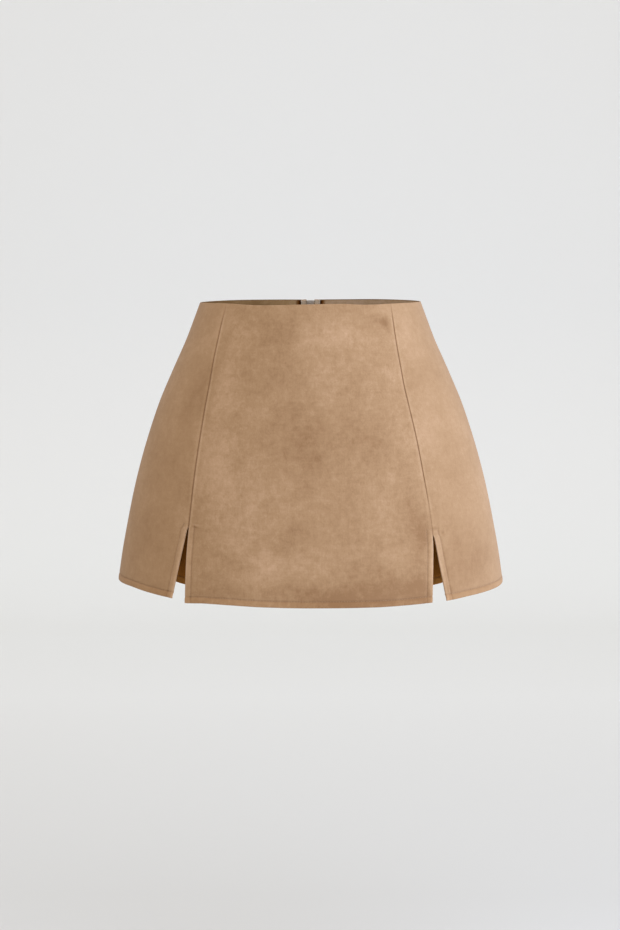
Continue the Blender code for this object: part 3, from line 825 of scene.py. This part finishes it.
def unit(vectors):
    return vectors / np.linalg.norm(vectors, axis=-1, keepdims=True)


def columnAt(cloth, edge, distance):
    # places are the same in each row beside an edge
    places = cloth[edge][0]
    columns = np.arange(len(places))
    if edge == "fromRight":
        return float(np.interp(distance, places[::-1], columns[::-1]))
    return float(np.interp(distance, places, columns))


def readGrid(grid, rows, columns):
    rows, columns = np.broadcast_arrays(np.asarray(rows, float), np.asarray(columns, float))
    row = np.clip(np.floor(rows).astype(int), 0, grid.shape[0] - 2)
    column = np.clip(np.floor(columns).astype(int), 0, grid.shape[1] - 2)
    down, across = rows - row, columns - column
    if grid.ndim == 3:
        down, across = down[..., None], across[..., None]
    upper = grid[row, column] * (1 - across) + grid[row, column + 1] * across
    lower = grid[row + 1, column] * (1 - across) + grid[row + 1, column + 1] * across
    return upper * (1 - down) + lower * down


def rowAt(cloth, key, value, column):
    # the place down a column where the cloth's drop or its distance from the hem has a value
    line = readGrid(cloth[key], np.arange(cloth[key].shape[0]), column)
    rows = np.arange(len(line))
    return float(np.interp(value, line, rows)) if line[-1] > line[0] else float(np.interp(-value, -line, rows))


def stitchAlong(cloth, rows, columns, face="outer"):
    # places whole stitches along one line of a cloth
    points = readGrid(cloth[face], rows, columns)
    normals = readGrid(cloth["normals"], rows, columns) * (1 if face == "outer" else -1)
    lengths = np.concatenate(([0], np.cumsum(np.linalg.norm(np.diff(points, axis=0), axis=1))))
    count = max(round(lengths[-1] / stitchLook["pitch"]), 1)
    middles = (np.arange(count) + 0.5) * lengths[-1] / count
    reach = stitchLook["length"] / 2

    def at(values, place):
        return np.stack([np.interp(place, lengths, values[:, i]) for i in range(3)], -1)

    ups = unit(at(normals, middles))
    alongs = at(points, middles + reach) - at(points, middles - reach)
    alongs = unit(alongs - ups * np.sum(alongs * ups, -1, keepdims=True))
    centres = at(points, middles) + stitchLook["raise"] * ups
    return list(zip(centres, alongs, ups))


def lineBetween(start, end, count=60):
    return np.linspace(start, end, count)


def edgeRun(cloth, edge, inset, topDrop, hemInset=None, endDrop=None):
    # a sewn line down beside an edge, from a level to the hem's line or to another level
    column = columnAt(cloth, edge, inset)
    top = rowAt(cloth, "drop", topDrop, column)
    end = rowAt(cloth, "fromHem", hemInset, column) if hemInset else rowAt(cloth, "drop", endDrop, column)
    return stitchAlong(cloth, lineBetween(top, end), column)


def barRun(cloth, edge, inset, drop):
    # a short sewn line in from an edge, level with a slit's top or a zip's end
    columns = lineBetween(columnAt(cloth, edge, 0.0006), columnAt(cloth, edge, inset), 12)
    return stitchAlong(cloth, [rowAt(cloth, "drop", drop, column) for column in columns], columns)


def hemRun(cloth, inset, left, right, face="outer"):
    columns = np.linspace(columnAt(cloth, "fromLeft", left), columnAt(cloth, "fromRight", right), 240)
    return stitchAlong(cloth, [rowAt(cloth, "fromHem", inset, column) for column in columns], columns, face)


def stitchSkirtPanel(panel, cloth):
    sizes = skirtCloth
    inset = sizes["stitchInset"]
    slitEdges = panel.get("slits", {})
    run = hemRun(cloth, inset, *(inset if edge in slitEdges else 0.0008 for edge in ("fromLeft", "fromRight")))
    for edge, side in slitEdges.items():
        top = slits[side]["apexDrop"] - sizes["barRise"][side]
        run += edgeRun(cloth, edge, inset, top, hemInset=inset)
        run += barRun(cloth, edge, inset, top)
    if "zip" in panel:
        middle = columnAt(cloth, panel["zip"], inset)
        rows = lineBetween(rowAt(cloth, "drop", 0.0015, middle), rowAt(cloth, "drop", sizes["zipStitchEnd"] + 0.002, middle))
        drops = readGrid(cloth["drop"], rows, middle)
        run += stitchAlong(cloth, rows, [columnAt(cloth, panel["zip"], inset - zipFlare(drop)) for drop in drops])
        run += barRun(cloth, panel["zip"], inset, sizes["zipStitchEnd"] + 0.002)
    return run


stitch = modelStitch()
for name, panel in skirtPanels.items():
    piece, cloth = shapeSkirtPanel(name, panel)
    threads = copyAlong(name + "Stitches", stitch, stitchSkirtPanel(panel, cloth), tanThread)
    for item in (piece, threads):
        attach(item, "garment")
    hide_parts(panel["node"])
print("skirt panels sewn")


shortsSizes = {
    "wall": 0.0010, "foldedWall": 0.0015, "foldDepth": 0.0100, "seamRoll": 0.0007, "foldRoll": 0.0008,
    "stitchInset": 0.0085, "stitchDepth": 0.00035, "stitchWidth": 0.0008, "flat": (0.235, 0.340),
    "area": 0.074, "seamShare": 0.00003, "zipBand": 0.0060, "zipStitch": 0.0050, "zipEnd": 0.160,
    "waistFlare": 0.0004,
}


def shapeShortsPanel(name, side, facing):
    sizes = shortsSizes
    seam = sizes["seamShare"]
    middle = 0.0 if facing < 0 else 180.0 * side

    def centreEdge(drop):
        if facing < 0:
            return np.full_like(drop, 1 - seam)
        half = readTable(zipOpening, "shorts", drop)
        width = readTable(shortsBody, "halfWidth", drop)
        return 1 - np.maximum(seam, half / (width * math.pi / 2))

    def sideEdge(drop):
        return np.full_like(drop, seam)

    def hang(level, around):
        return level + waistShift(level, 90.0 * side + around * (middle - 90.0 * side))

    centreOnRight = side * facing > 0
    marks = [shortsCut["crotch"]] + ([0.160] if facing > 0 else [])
    cut = {"left": sideEdge if centreOnRight else centreEdge, "right": centreEdge if centreOnRight else sideEdge,
           "top": shortsCut["top"], "end": shortsCut["hem"], "hang": hang, "marks": marks,
           "form": lambda around, drop: shortsPoint(side, facing, around, drop)}
    cloth = layCloth(cut)
    roll = np.maximum(rollIn(cloth["fromHem"], sizes["foldRoll"]), rollIn(cloth["fromTop"], 0.0004))
    # the centre seam lies flat where it runs under the crotch, so it stays shut
    flat = np.clip((shortsCut["crotch"] - cloth["drop"]) / 0.1, 0, 1)
    centreKey, sideKey = ("fromRight", "fromLeft") if centreOnRight else ("fromLeft", "fromRight")
    roll = np.maximum(roll, rollIn(cloth[sideKey], sizes["seamRoll"]))
    cloth["roll"] = np.maximum(roll, flat * rollIn(cloth[centreKey], sizes["seamRoll"]))
    distance = cloth["fromHem"]
    cloth["shift"] = (sizes["waistFlare"] * np.exp(-(cloth["fromTop"] / 0.003)**2)
                      - ditch(distance - sizes["stitchInset"], sizes["stitchDepth"], sizes["stitchWidth"]))
    inBand = np.clip((sizes["foldDepth"] - distance) / 0.0006, 0, 1)
    if facing > 0:
        zipEdge = cloth[centreKey]
        above = np.clip((sizes["zipEnd"] - cloth["drop"]) / 0.002, 0, 1)
        zipBand = above * np.clip((sizes["zipBand"] - zipEdge) / 0.0030, 0, 1)
        inBand = np.maximum(inBand, zipBand)
        # painted shadow in the dark crease beside the zip
        cloth["paintedShade"] += above * np.clip(1.2 - zipEdge / sizes["zipBand"], 0, 1)
        # inside the back's top the colour is painted lighter towards the right, a painted pool of light
        towards = np.clip((cloth["base"][..., 0] + 0.035) / 0.06, -1.1, 1)
        cloth["nap"] += 0.18 * towards * np.exp(-(cloth["drop"] / 0.03)**2)
    cloth["turned"] = inBand
    # painted shade along the hem's stitch line
    cloth["paintedShade"] += ditch(distance - sizes["stitchInset"], 0.15, 0.0012)
    cloth["wall"] = sizes["wall"] + inBand * (sizes["foldedWall"] - sizes["wall"])
    # the shorts' hem band, which their fold tint paints lighter as a painted highlight
    cloth["foldEdge"] = np.clip((sizes["stitchInset"] - distance) / 0.001, 0, 1)
    piece = sewCloth(name, cloth, shortsCloth)
    run = hemRun(cloth, sizes["stitchInset"], 0.0008, 0.0008)
    if facing > 0:
        column = columnAt(cloth, centreKey, sizes["zipStitch"])
        rows = lineBetween(rowAt(cloth, "drop", 0.003, column), rowAt(cloth, "drop", sizes["zipEnd"], column))
        run += stitchAlong(cloth, rows, column, "inner")
    return piece, copyAlong(name + "Stitches", stitch, run, brownThread)


for side, sideName in ((-1, "Left"), (1, "Right")):
    for facing, facingName in ((-1, "Front"), (1, "Back")):
        name = "shorts" + facingName + sideName
        piece, threads = shapeShortsPanel(name, side, facing)
        for item in (piece, threads):
            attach(item, "garment")
        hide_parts("shorts_" + facingName.lower() + "_" + sideName.lower())
print("shorts sewn")


# The zip, down the centre back

def zipPoint(x, level, inset):
    angle = 180.0 - degreesOf(x, level)
    drop = hangDrop(level, angle)
    return skirtPoint(angle, drop) - np.asarray(inset)[..., None] * skirtNormal(angle, drop)


zipTape = {
    "inner": 0.0026, "outer": 0.0116, "inset": 0.0018, "wall": 0.0010, "top": 0.0006, "end": 0.163,
    "edge": (0.0, 0.00015, 0.0004, 0.0008, 0.0014), "step": 0.0012, "roll": 0.00035,
    "selvedge": 0.0010, "selvedgeRise": 0.00025, "flat": (0.0105, 0.165), "area": 0.00173,
    "sliderShadowPlace": 0.0047, "sliderShadowWidth": 0.0008, "sliderShadowEnd": 0.012, "sliderShadowAmount": 0.7,
}
for side, sideName in ((-1, "Left"), (1, "Right")):
    edges = sorted((side * zipTape["inner"], side * zipTape["outer"]), reverse=True)
    cloth = layCloth({
        "left": lambda drop: np.full_like(drop, edges[0]), "right": lambda drop: np.full_like(drop, edges[1]),
        "top": zipTape["top"], "end": zipTape["end"], "hang": lambda level, x: np.full_like(x, level),
        "form": lambda x, level: zipPoint(x, level, zipTape["inset"]),
        "edge": zipTape["edge"], "step": zipTape["step"],
    })
    distance = np.minimum(cloth["fromLeft"], cloth["fromRight"])
    cloth["roll"] = rollIn(distance, zipTape["roll"])
    cloth["wall"] = (zipTape["wall"] - rollIn(distance, zipTape["roll"])
                     + zipTape["selvedgeRise"] * np.clip(1 - distance / zipTape["selvedge"], 0, 1))
    # painted highlight along the selvedges
    cloth["foldEdge"] = np.clip(1 - distance / zipTape["selvedge"], 0, 1)
    # painted shadow of the slider's sides on the tape
    sliderShadowMask = ditch(side * cloth["turn"] - zipTape["sliderShadowPlace"], zipTape["sliderShadowAmount"], zipTape["sliderShadowWidth"])
    cloth["paintedShade"] = sliderShadowMask * np.clip((zipTape["sliderShadowEnd"] - cloth["drop"]) / 0.001, 0, 1)
    piece = sewCloth("zipTape" + sideName, cloth, tapeCloth)
    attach(piece, "garment")
    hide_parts("zip_tape_" + sideName.lower())


def addBlock(name, low, high):
    deselect()
    bpy.ops.mesh.primitive_cube_add(size=1, location=[(a + b) / 2 for a, b in zip(low, high)])
    block = bpy.context.object
    block.name = name
    block.data.name = name
    block.scale = [b - a for a, b in zip(low, high)]
    bpy.ops.object.transform_apply(location=True, rotation=True, scale=True)
    return block


def chooseEdges(piece, wanted):
    # leaves the piece in edit mode with only the wanted edges selected
    pick(piece)
    bpy.ops.object.mode_set(mode="EDIT")
    bpy.ops.mesh.select_mode(type="EDGE")
    bpy.ops.mesh.select_all(action="DESELECT")
    bpy.ops.object.mode_set(mode="OBJECT")
    points = piece.data.vertices
    for edge in piece.data.edges:
        edge.select = wanted(points[edge.vertices[0]].co, points[edge.vertices[1]].co)
    bpy.ops.object.mode_set(mode="EDIT")


def bevelEdges(piece, wanted, width, segments):
    chooseEdges(piece, wanted)
    bpy.ops.mesh.bevel(offset=width, offset_type="OFFSET", segments=segments, affect="EDGES")
    bpy.ops.object.mode_set(mode="OBJECT")


def throughPlate(a, b):
    # an edge that runs straight through a plate, along Y
    return abs(a.x - b.x) < 1e-6 and abs(a.z - b.z) < 1e-6


def combine(piece, other, operation):
    applyModifier(piece, "BOOLEAN", operation=operation, solver="EXACT", object=other)
    bpy.data.objects.remove(other, do_unlink=True)


def softenEdges(piece, width, segments=2):
    applyModifier(piece, "BEVEL", width=width, segments=segments, limit_method="ANGLE",
                  angle_limit=math.radians(40), use_clamp_overlap=True)
    bpy.ops.object.shade_smooth_by_angle(angle=math.radians(35))


zipTeeth = {
    "top": 0.0060, "end": 0.1490, "pitch": 0.0020, "depth": 0.0023, "thickness": 0.00094,
    "head": 0.00050, "reach": 0.00235, "half": 0.0011, "legReach": 0.0034, "leg": 0.00045,
    "soft": 0.00013, "stop": (0.0023, 0.0030, 0.0013),
}


def modelTooth():
    # one tooth: X points to its tape, Y runs along the zip and Z points out of it
    y = zipTeeth["thickness"] / 2
    half = zipTeeth["half"]
    tooth = addBlock("tooth", (-zipTeeth["head"], -y, -half), (zipTeeth["reach"], y, half))
    chooseEdges(tooth, lambda a, b: max(a.x, b.x) < 0)
    bpy.ops.transform.resize(value=(1, 0.62, 0.80), center_override=(0, 0, 0))
    bpy.ops.object.mode_set(mode="OBJECT")
    leg = addBlock("leg", (0.0016, -y * 0.8, -half - 0.0002), (zipTeeth["legReach"], y * 0.8, -half + zipTeeth["leg"]))
    combine(tooth, leg, "UNION")
    softenEdges(tooth, zipTeeth["soft"], 1)
    return meshParts(tooth)


def toothPlaces():
    places = []
    for side in (1, -1):
        first = zipTeeth["top"] + (0.75 if side > 0 else 0.25) * zipTeeth["pitch"]
        for level in np.arange(first, zipTeeth["end"], zipTeeth["pitch"]):
            drop = hangDrop(level, 180.0)
            places.append((zipPoint(0.0, level, zipTeeth["depth"]), np.array((side, 0.0, 0.0)), skirtNormal(180.0, drop)))
    return places


teeth = copyAlong("zipTeeth", modelTooth(), toothPlaces(), nickel)
stopHalf = [size / 2 if i == 1 else size for i, size in enumerate(zipTeeth["stop"])]
bottomStop = addBlock("zipBottomStop", [-size for size in stopHalf], stopHalf)
softenEdges(bottomStop, 0.0005, 3)
stopLevel = zipTeeth["end"] + stopHalf[1]
zipBottomStop = copyAlong("zipBottomStop", meshParts(bottomStop), [
    (zipPoint(0.0, stopLevel, zipTeeth["depth"]), np.array((1.0, 0.0, 0.0)),
     skirtNormal(180.0, hangDrop(stopLevel, 180.0)))], nickel)
for piece in (teeth, zipBottomStop):
    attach(piece, "garment")
    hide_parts("zip_teeth")

# The slider's own frame: -Z runs down the zip from the slider's top, and +Y points out of it
zipSlider = {
    "top": 0.0008, "length": 0.0095, "half": 0.0040, "plate": 0.0010, "outerFace": 0.0001, "innerFace": -0.0047,
    "corner": 0.0016, "taper": 0.80, "lip": 0.0006, "lipDepth": 0.0007, "coreHalf": 0.0012, "coreEnd": 0.0046,
    "innerTop": 0.0014, "soft": 0.00022, "archHalf": 0.0008, "archMiddle": 0.0049, "archInner": 0.0022, "archOuter": 0.0033,
}


def sliderPlate(name, low, high, lipLow, lipHigh, top=0.0):
    size = zipSlider
    plate = addBlock(name, (-size["half"], low, -size["length"]), (size["half"], high, top))
    bevelEdges(plate, throughPlate, size["corner"], 5)
    chooseEdges(plate, lambda a, b: max(a.z, b.z) < -0.6 * size["length"])
    bpy.ops.transform.resize(value=(size["taper"], 1, 1), center_override=(0, 0, 0))
    bpy.ops.object.mode_set(mode="OBJECT")
    for side in (-1, 1):
        x = sorted((side * (size["half"] - size["lip"]), side * (size["half"] - 0.00002)))
        lip = addBlock("lip", (x[0], lipLow, -0.62 * size["length"]), (x[1], lipHigh, -0.16 * size["length"]))
        combine(plate, lip, "UNION")
    return plate


def makeSlider():
    size = zipSlider
    outer, inner = size["outerFace"], size["innerFace"]
    slider = sliderPlate("zipSlider", outer - size["plate"], outer,
                         outer - size["plate"] - size["lipDepth"], outer - size["plate"] / 2)
    back = sliderPlate("sliderBack", inner, inner + size["plate"],
                       inner + size["plate"] / 2, inner + size["plate"] + size["lipDepth"], size["innerTop"])
    core = addBlock("sliderCore", (-size["coreHalf"], inner + size["plate"] / 2, -size["coreEnd"]),
                    (size["coreHalf"], outer - size["plate"] / 2, -0.0002))
    bevelEdges(core, throughPlate, 0.0008, 3)
    deselect()
    bpy.ops.mesh.primitive_plane_add(size=1, location=(0, 0, 0))
    arch = bpy.context.object
    arch.name = "sliderArch"
    thick = size["archOuter"] - size["archInner"]
    bpy.ops.object.mode_set(mode="EDIT")
    bpy.ops.mesh.select_all(action="SELECT")
    bpy.ops.transform.resize(value=(2 * size["archHalf"], thick, 1))
    bpy.ops.transform.rotate(value=math.radians(90), orient_axis="X", center_override=(0, 0, 0))
    foot = -size["archMiddle"] - (size["archOuter"] + size["archInner"]) / 2
    bpy.ops.transform.translate(value=(0, outer - 0.0004, foot))
    bpy.ops.mesh.delete(type="ONLY_FACE")
    bpy.ops.mesh.select_all(action="SELECT")
    bpy.ops.mesh.spin(steps=12, angle=math.radians(180), axis=(1, 0, 0),
                      center=(0, outer - 0.0004, -size["archMiddle"]))
    bpy.ops.mesh.select_all(action="SELECT")
    bpy.ops.mesh.fill_holes(sides=4)
    bpy.ops.mesh.select_all(action="SELECT")
    bpy.ops.mesh.normals_make_consistent(inside=False)
    bpy.ops.object.mode_set(mode="OBJECT")
    for other in (back, core, arch):
        combine(slider, other, "UNION")
    softenEdges(slider, size["soft"])
    return slider


pullTab = {
    "half": 0.0030, "thick": 0.0011, "length": 0.0260, "windowHalf": 0.0014, "windowLength": 0.0056,
    "endCorner": 0.0024, "topCorner": 0.0007, "panelHalf": 0.0018, "panelTop": -0.0090, "panelEnd": -0.0232,
    "panelDepth": 0.0002, "soft": 0.00018, "drop": 0.003778, "out": 0.00115,
}


def makePull():
    # the pull tab about its hinge, hanging down
    size = pullTab
    y = size["thick"] / 2
    end = y - size["length"]
    pull = addBlock("pullTab", (-size["half"], -y, end), (size["half"], y, y))
    bevelEdges(pull, lambda a, b: throughPlate(a, b) and a.z < 0, size["endCorner"], 8)
    bevelEdges(pull, lambda a, b: throughPlate(a, b) and a.z > 0, size["topCorner"], 4)
    window = addBlock("window", (-size["windowHalf"], -2 * y, -y - size["windowLength"]),
                      (size["windowHalf"], 2 * y, -y))
    bevelEdges(window, throughPlate, 0.0006, 4)
    combine(pull, window, "DIFFERENCE")
    for face in (-1, 1):
        depth = sorted((face * (y - size["panelDepth"]), face * 2 * y))
        panel = addBlock("panel", (-size["panelHalf"], depth[0], size["panelEnd"]),
                         (size["panelHalf"], depth[1], size["panelTop"]))
        bevelEdges(panel, throughPlate, 0.0012, 6)
        combine(pull, panel, "DIFFERENCE")
    softenEdges(pull, size["soft"])
    return pull


def settle(piece, matrix):
    pick(piece)
    piece.matrix_world = matrix
    bpy.ops.object.transform_apply(location=True, rotation=True, scale=True)


sliderTop = Vector(skirtPoint(180.0, hangDrop(zipSlider["top"], 180.0)))
sliderEnd = Vector(skirtPoint(180.0, hangDrop(zipSlider["top"] + zipSlider["length"], 180.0)))
sliderTilt = math.atan2(sliderEnd.y - sliderTop.y, sliderTop.z - sliderEnd.z)
sliderFrame = Matrix.Translation(sliderTop) @ Matrix.Rotation(sliderTilt, 4, "X")
slider = makeSlider()
settle(slider, sliderFrame)
pull = makePull()
settle(pull, sliderFrame @ Matrix.Translation((0, pullTab["out"], -pullTab["drop"])))
for piece, node, body in ((slider, "zip_slider", "garment"), (pull, "zip_pull", "pull")):
    piece.data.materials.append(nickel)
    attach(piece, body)
    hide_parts(node)
print("zip made")


# Camera, light and floor

studio = {
    "distance": 2.0, "height": 0.055, "aimHeight": -0.1905, "aimSide": -0.0006, "lens": 66.39,
    "floorHeight": -1.1, "backdropBehind": 3.2, "bendRadius": 1.0, "floorWidth": 16.0, "floorFront": 5.0,
}
bpy.ops.object.camera_add(location=(0, -studio["distance"], studio["height"]))
camera = bpy.context.object
camera.name = "photoCamera"
camera.data.lens = studio["lens"]
aim = Vector((studio["aimSide"], 0, studio["aimHeight"])) - camera.location
camera.rotation_euler = aim.to_track_quat("-Z", "Y").to_euler()
bpy.context.scene.camera = camera

world = bpy.data.worlds.new("studioWorld")
bpy.context.scene.world = world
world.use_nodes = True
world.node_tree.nodes["Background"].inputs["Color"].default_value = (1.0, 0.955, 0.89, 1.0)
world.node_tree.nodes["Background"].inputs["Strength"].default_value = 0.94


def addSoftbox(name, place, target, size, power, colour=(1, 1, 1)):
    bpy.ops.object.light_add(type="AREA", location=place)
    lamp = bpy.context.object
    lamp.name = name
    lamp.data.shape = "DISK"
    lamp.data.size = size
    lamp.data.energy = power
    lamp.data.color = colour
    lamp.rotation_euler = (Vector(target) - Vector(place)).to_track_quat("-Z", "Y").to_euler()
    return lamp


addSoftbox("keyRight", (2.1, -1.0, -0.45), (0, 0, -0.17), 1.2, 49.0, (0.82, 1.0, 1.37))
addSoftbox("frontAbove", (0.2, -1.3, 1.75), (0, 0, -0.17), 1.4, 22.0, (0.85, 1.0, 1.27))

bpy.ops.mesh.primitive_plane_add(size=1, location=(0, 0, studio["floorHeight"]))
floor = bpy.context.object
floor.name = "paleFloor"
floor.scale = (studio["floorWidth"], studio["backdropBehind"] + studio["floorFront"], 1)
floor.location.y = (studio["backdropBehind"] - studio["floorFront"]) / 2
bpy.ops.object.transform_apply(location=True, rotation=False, scale=True)
bpy.ops.object.mode_set(mode="EDIT")
bpy.ops.mesh.select_mode(type="EDGE")
bpy.ops.mesh.select_all(action="DESELECT")
bpy.ops.object.mode_set(mode="OBJECT")
for edge in floor.data.edges:
    ends = [floor.data.vertices[i].co for i in edge.vertices]
    edge.select = all(abs(end.y - studio["backdropBehind"]) < 0.001 for end in ends)
bpy.ops.object.mode_set(mode="EDIT")
bpy.ops.mesh.spin(steps=16, angle=math.radians(-90), axis=(1, 0, 0),
                  center=(0, studio["backdropBehind"], studio["floorHeight"] + studio["bendRadius"]))
bpy.ops.mesh.extrude_region_move(TRANSFORM_OT_translate={"value": (0, 0, 6.0)})
bpy.ops.object.mode_set(mode="OBJECT")
bpy.ops.object.shade_smooth()
floorMaterial, floorNodes, floorLinks = newMaterial("palePaper")
# the paper is a little cooler than the warm sky light; it is painted darker near the camera and a little darker on the
# far bend, painted shade
floorPlace = floorNodes.new("ShaderNodeTexCoord").outputs["Object"]
floorSplit = floorNodes.new("ShaderNodeSeparateXYZ")
floorLinks.new(floorPlace, floorSplit.inputs["Vector"])
floorShade = floorNodes.new("ShaderNodeMapRange")
for name, value in (("From Min", 1.0), ("From Max", 4.2), ("To Min", 0.0), ("To Max", 1.0)):
    floorShade.inputs[name].default_value = value
floorLinks.new(floorSplit.outputs["Y"], floorShade.inputs["Value"])
floorLinks.new(ramp(floorNodes, floorLinks, floorShade.outputs["Result"],
                    ((0.00, (0.660, 0.655, 0.640)), (0.44, (0.812, 0.822, 0.826)), (0.66, (0.824, 0.839, 0.845)),
                     (0.84, (0.805, 0.818, 0.814)), (1.00, (0.786, 0.788, 0.778)))),
               floorNodes["Principled BSDF"].inputs["Base Color"])
floorNodes["Principled BSDF"].inputs["Roughness"].default_value = 0.9
floor.data.materials.append(floorMaterial)
bpy.context.scene.view_settings.view_transform = "Standard"
deselect()
print("studio set")
